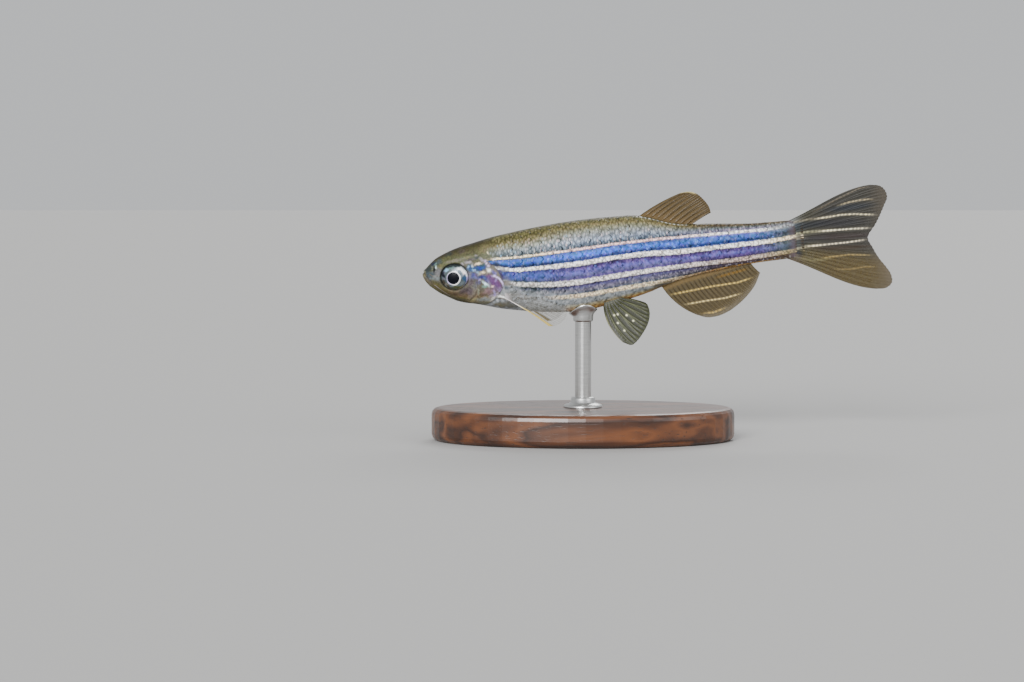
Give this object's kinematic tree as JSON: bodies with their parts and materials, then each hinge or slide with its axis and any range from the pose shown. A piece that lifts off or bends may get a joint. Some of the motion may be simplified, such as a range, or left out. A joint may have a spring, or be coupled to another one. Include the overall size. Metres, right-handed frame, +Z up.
{
  "type": "zebra danio fish model on a display stand",
  "caption": "Life-size still model of a zebra danio, a small striped freshwater fish, swimming slightly head down over an oval base on one rod.",
  "frame": {"origin": "centre of the base's underside, on the surface that the stand rests on", "axes": "+X from the fish's head to its tail, +Z up, -Y towards the fish's left side"},
  "size_m": [0.0433, 0.017, 0.0235],
  "materials": {
    "head_skin": "satin, olive with a tan chin",
    "gill_cover_skin": "pearly, purple and silver",
    "eye": "glossy, silver iris round a dark pupil",
    "trunk_skin": "satin, silvery scales with blue and violet stripes between pale lines",
    "fin": "clear membrane with brownish rays and pale lines",
    "stand_wood": "dark walnut, satin",
    "stand_steel": "brushed"
  },
  "bodies": {
    "root": {"head": "head_skin", "gill_cover_left": "gill_cover_skin", "gill_cover_right": "gill_cover_skin", "eye_left": "eye", "eye_right": "eye", "trunk": "trunk_skin", "tail": "trunk_skin", "dorsal_fin": "fin", "anal_fin": "fin", "tail_fin_upper": "fin", "tail_fin_lower": "fin", "pectoral_fin_left": "fin", "pectoral_fin_right": "fin", "pelvic_fin_left": "fin", "pelvic_fin_right": "fin", "stand_base": "stand_wood", "stand_rod": "stand_steel"}
  },
  "joints": []
}
